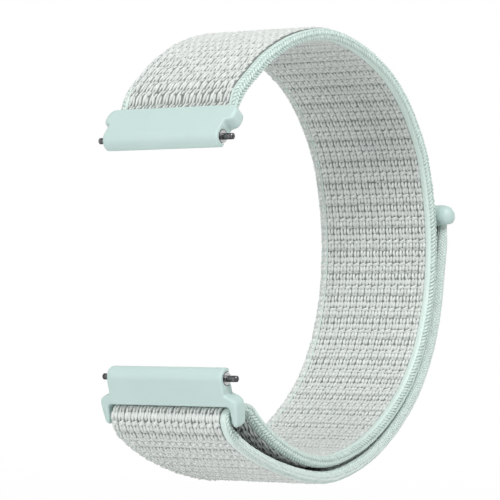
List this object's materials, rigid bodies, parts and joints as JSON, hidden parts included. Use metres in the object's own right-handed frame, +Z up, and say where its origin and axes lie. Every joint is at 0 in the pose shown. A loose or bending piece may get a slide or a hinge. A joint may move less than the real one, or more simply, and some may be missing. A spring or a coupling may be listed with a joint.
{
  "type": "watch strap",
  "caption": "Woven hook and loop watch strap closed into a ring, with a fixed adapter, a slotted loop adapter and quick release spring bars.",
  "frame": {"origin": "axis of the upper spring bar, halfway between the watch lugs", "axes": "+X along the spring bars towards the plungers and release knobs, +Y from the watch towards the back of the wrist, +Z up, from the loop adapter to the fixed adapter"},
  "size_m": [0.0234, 0.0576, 0.0648],
  "materials": {
    "mint_plastic": "satin moulded plastic, pale mint",
    "mint_yarn": "stitched edge cord, pale mint",
    "pale_yarn": "woven nylon loops, pale grey green",
    "hook_nylon": "moulded nylon hooks, pale mint",
    "polished_steel": "polished steel",
    "spring_steel": "drawn spring wire"
  },
  "bodies": {
    "upper_end": {"fixed_adapter": "mint_plastic", "upper_bar_tube": "polished_steel", "upper_bar_fixed_tip": "polished_steel", "upper_bar_spring": "spring_steel", "band_top_web": "pale_yarn", "band_top_left_edge": "mint_yarn", "band_top_right_edge": "mint_yarn"},
    "upper_plunger": {"upper_bar_plunger": "polished_steel", "upper_bar_release_knob": "polished_steel"},
    "band_rear": {"band_rear_web": "pale_yarn", "band_rear_left_edge": "mint_yarn", "band_rear_right_edge": "mint_yarn", "band_fold_web": "pale_yarn", "band_fold_left_edge": "mint_yarn", "band_fold_right_edge": "mint_yarn"},
    "loop_end": {"loop_adapter": "mint_plastic", "lower_bar_tube": "polished_steel", "lower_bar_fixed_tip": "polished_steel", "lower_bar_spring": "spring_steel"},
    "lower_plunger": {"lower_bar_plunger": "polished_steel", "lower_bar_release_knob": "polished_steel"},
    "tail_middle": {"tail_middle_web": "pale_yarn", "tail_middle_left_edge": "mint_yarn", "tail_middle_right_edge": "mint_yarn"},
    "tail_end": {"tail_end_web": "pale_yarn", "tail_end_left_edge": "mint_yarn", "tail_end_right_edge": "mint_yarn", "hook_patch": "hook_nylon", "end_bead": "mint_plastic"}
  },
  "joints": [
    {"name": "upper_bar_release", "type": "slide", "parent": "upper_end", "child": "upper_plunger", "axis": [-1, 0, 0], "range_m": [0, 0.0016], "stiffness_N_per_m": 500, "springref_m": -0.001, "deforming": ["upper_bar_spring"]},
    {"name": "band_flex", "type": "hinge", "parent": "upper_end", "child": "band_rear", "pos_m": [0, 0.03759, 0.01197], "axis": [1, 0, 0], "range_deg": [-8, 25], "stiffness_Nm_per_rad": 0.05},
    {"name": "loop_adapter_swing", "type": "hinge", "parent": "band_rear", "child": "loop_end", "pos_m": [0, 0.00221, -0.03855], "axis": [1, 0, 0], "range_deg": [-12, 60]},
    {"name": "lower_bar_release", "type": "slide", "parent": "loop_end", "child": "lower_plunger", "axis": [-1, 0, 0], "range_m": [0, 0.0016], "stiffness_N_per_m": 500, "springref_m": -0.001, "deforming": ["lower_bar_spring"]},
    {"name": "tail_root_flex", "type": "hinge", "parent": "band_rear", "child": "tail_middle", "pos_m": [0, 0.00841, -0.04389], "axis": [-1, 0, 0], "range_deg": [0, 22]},
    {"name": "tail_peel", "type": "hinge", "parent": "tail_middle", "child": "tail_end", "pos_m": [0, 0.04643, -0.03647], "axis": [-1, 0, 0], "range_deg": [0, 70]}
  ],
  "couplings": [
    {"joint": "tail_root_flex", "follows": "tail_peel", "ratio": 0.31}
  ]
}
